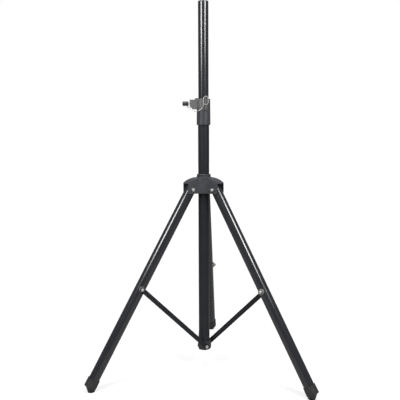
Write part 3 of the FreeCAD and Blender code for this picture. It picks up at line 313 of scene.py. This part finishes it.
def chainTree(settings, material):
    # oval wire links set along a curve, each a quarter turn from the last
    tree, given = newTree("linksOnCurve", [
        ("Geometry", "NodeSocketGeometry"), ("Width", "NodeSocketFloat"), ("Wire", "NodeSocketFloat"),
        ("Pitch", "NodeSocketFloat"), ("Count", "NodeSocketInt")])
    points = addNode(tree, "GeometryNodeCurveToPoints", {"mode": "COUNT"},
                     links={"Curve": given["Geometry"], "Count": given["Count"]})
    across = addNode(tree, "ShaderNodeMath", {"operation": "SUBTRACT"},
                     links={0: given["Width"], 1: given["Wire"]})
    along = addNode(tree, "ShaderNodeMath", {"operation": "ADD"}, links={0: given["Pitch"], 1: given["Wire"]})
    oval = addNode(tree, "GeometryNodeCurvePrimitiveQuadrilateral", {"mode": "RECTANGLE"},
                   links={"Width": along.outputs["Value"], "Height": across.outputs["Value"]})
    bend = addNode(tree, "ShaderNodeMath", {"operation": "MULTIPLY"}, {1: settings["bend"]},
                   {0: across.outputs["Value"]})
    link = addNode(tree, "GeometryNodeFilletCurve", {"mode": "POLY"}, {"Count": settings["bendSteps"]},
                   {"Curve": oval.outputs["Curve"], "Radius": bend.outputs["Value"]})
    half = addNode(tree, "ShaderNodeMath", {"operation": "MULTIPLY"}, {1: 0.5}, {0: given["Wire"]})
    section = addNode(tree, "GeometryNodeCurvePrimitiveCircle", inputs={"Resolution": settings["wireSides"]},
                      links={"Radius": half.outputs["Value"]})
    solid = addNode(tree, "GeometryNodeCurveToMesh", links={
        "Curve": link.outputs["Curve"], "Profile Curve": section.outputs["Curve"]})
    smooth = addNode(tree, "GeometryNodeSetShadeSmooth", links={"Geometry": solid.outputs["Mesh"]})
    facing = addNode(tree, "FunctionNodeAlignRotationToVector", {"axis": "X"},
                     links={"Vector": points.outputs["Tangent"]})
    index = addNode(tree, "GeometryNodeInputIndex")
    quarter = addNode(tree, "ShaderNodeMath", {"operation": "MULTIPLY"}, {1: math.pi / 2},
                      {0: index.outputs["Index"]})
    roll = addNode(tree, "FunctionNodeAxisAngleToRotation", inputs={"Axis": (1, 0, 0)},
                   links={"Angle": quarter.outputs["Value"]})
    turned = addNode(tree, "FunctionNodeRotateRotation", {"rotation_space": "LOCAL"},
                     links={"Rotation": facing.outputs["Rotation"], "Rotate By": roll.outputs["Rotation"]})
    placed = addNode(tree, "GeometryNodeInstanceOnPoints", links={
        "Points": points.outputs["Points"], "Instance": smooth.outputs["Geometry"],
        "Rotation": turned.outputs["Rotation"]})
    closeTree(tree, placed.outputs["Instances"], material)
    return tree


def chainCurve(settings):
    curve = bpy.data.curves.new("chainRoute", "CURVE")
    curve.dimensions = "3D"
    curve.resolution_u = settings["steps"]
    spline = curve.splines.new("NURBS")
    spline.points.add(len(settings["route"]) - 1)
    for point, (x, y, z) in zip(spline.points, settings["route"]):
        point.co = (x * mm, y * mm, pinLevel + z * mm, 1)
    spline.order_u = settings["order"]
    spline.use_endpoint_u = True
    return curve


def makeChain(settings):
    curve = chainCurve(settings)
    route = addObject("chainRoute", curve)
    line = [vertex.co.copy() for vertex in bpy.data.meshes.new_from_object(route).vertices]
    bpy.data.objects.remove(route)
    links = grown("safetyChain", curve, chainTree(settings, finishes["steel_bright"]), {
        "Width": settings["width"] * mm, "Wire": settings["wire"] * mm, "Pitch": settings["pitch"] * mm,
        "Count": round(settings["length"] / settings["pitch"]) + 1})
    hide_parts("safety_chain")
    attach(links, "column")


makeChain(chain)
print("chain made")

studio = {
    "floor": "#a0a0a0", "floorSize": 30, "floorRoughness": 0.9, "floorSpecular": 0.1,
    # the floor's own light as the camera sees it, near the stand and far from it in metres, and the share of it
    # that gloss sees
    "near": 1.0, "far": 4, "glowNear": 0.74, "glowFar": 1.0, "glossShare": 0.15,
    # the white backdrop stands towards +Y: its soft edge in degrees from there, and the light of the rest of the
    # room on gloss and on everything else
    "backdropFrom": 8, "backdropTo": 24, "room": 0.2, "ambient": 0.2,
    "lampsAim": 0.85,  # the height in metres, on the centre tube, that every lamp faces
    "lamps": [
        # name, degrees from -Y towards +X, then metres: distance, height, width and tallness, then watts
        ("softboxLeft", -39, 2.0, 1.7, 0.85, 0.45, 21),
        ("softboxLeftFoot", -39, 2.0, 1.4, 0.85, 0.22, 4.2),
        ("softboxLeftEdge", -39, 2.0, 1.22, 0.85, 0.17, 0.7),
        ("softboxRight", 45, 2.0, 1.85, 0.6, 0.56, 23),
        ("softboxRightWing", 57, 2.0, 1.97, 0.4, 0.5, 6.3),
        ("softboxRightFoot", 42, 2.0, 1.49, 0.42, 0.25, 4.7),
        ("softboxRightEdge", 42, 2.0, 1.27, 0.42, 0.26, 0.6),
        ("overhead", 0, 0.6, 3.0, 1.2, 0.8, 45),
    ],
}


def anyOf(tree, *rays):
    # 1 for a ray of any of these kinds
    path = addNode(tree, "ShaderNodeLightPath")
    seen = path.outputs[rays[0]]
    for ray in rays[1:]:
        seen = addNode(tree, "ShaderNodeMath", {"operation": "MAXIMUM"},
                       links={0: seen, 1: path.outputs[ray]}).outputs["Value"]
    return seen


def makeFloor(settings):
    mesh = bpy.data.meshes.new("floor")
    half = settings["floorSize"] / 2
    mesh.from_pydata([(-half, -half, 0), (half, -half, 0), (half, half, 0), (-half, half, 0)], [], [(0, 1, 2, 3)])
    floor = addObject("floor", mesh)
    material, tree, shader = newMaterial("floorPaper", settings["floor"], settings["floorRoughness"],
                                         specular=settings["floorSpecular"])
    mesh.materials.append(material)
    place = addNode(tree, "ShaderNodeTexCoord")
    out = addNode(tree, "ShaderNodeVectorMath", {"operation": "LENGTH"}, links={0: place.outputs["Object"]})
    glow = addNode(tree, "ShaderNodeMapRange", inputs={
        "From Min": settings["near"], "From Max": settings["far"], "To Min": settings["glowNear"],
        "To Max": settings["glowFar"]}, links={"Value": out.outputs["Value"]})
    gloss = addNode(tree, "ShaderNodeMath", {"operation": "MULTIPLY"}, {1: settings["glossShare"]},
                    {0: anyOf(tree, "Is Glossy Ray", "Is Transmission Ray")})
    share = addNode(tree, "ShaderNodeMath", {"operation": "MAXIMUM"}, links={
        0: anyOf(tree, "Is Camera Ray"), 1: gloss.outputs["Value"]})
    strength = addNode(tree, "ShaderNodeMath", {"operation": "MULTIPLY"}, links={
        0: share.outputs["Value"], 1: glow.outputs["Result"]})
    shader.inputs["Emission Color"].default_value = (1, 1, 1, 1)
    tree.links.new(strength.outputs["Value"], shader.inputs["Emission Strength"])


def makeWorld(settings):
    world = bpy.data.worlds.new("studio")
    scene.world = world
    world.use_nodes = True
    tree = world.node_tree
    back = tree.nodes["Background"]
    back.inputs["Color"].default_value = (1, 1, 1, 1)
    place = addNode(tree, "ShaderNodeTexCoord")
    split = addNode(tree, "ShaderNodeSeparateXYZ", links={"Vector": place.outputs["Generated"]})
    backdrop = addNode(tree, "ShaderNodeMapRange", {"interpolation_type": "SMOOTHSTEP"}, {
        "From Min": math.cos(math.radians(settings["backdropTo"])),
        "From Max": math.cos(math.radians(settings["backdropFrom"])),
        "To Min": settings["room"], "To Max": 1}, {"Value": split.outputs["Y"]})
    shown = addNode(tree, "ShaderNodeMapRange", inputs={"To Min": settings["ambient"]}, links={
        "Value": anyOf(tree, "Is Glossy Ray", "Is Transmission Ray"), "To Max": backdrop.outputs["Result"]})
    strength = addNode(tree, "ShaderNodeMath", {"operation": "MAXIMUM"}, links={
        0: anyOf(tree, "Is Camera Ray"), 1: shown.outputs["Result"]})
    tree.links.new(strength.outputs["Value"], back.inputs["Strength"])


def makeLamps(settings):
    aim = Vector((0, 0, settings["lampsAim"]))
    for name, side, distance, height, width, tall, power in settings["lamps"]:
        data = bpy.data.lights.new(name, "AREA")
        data.shape = "RECTANGLE"
        data.size, data.size_y, data.energy = width, tall, power
        lamp = addObject(name, data)
        turn = math.radians(side)
        lamp.location = (math.sin(turn) * distance, -math.cos(turn) * distance, height)
        lamp.rotation_euler = (aim - lamp.location).to_track_quat("-Z", "Y").to_euler()


makeFloor(studio)
makeWorld(studio)
makeLamps(studio)
print("studio made")
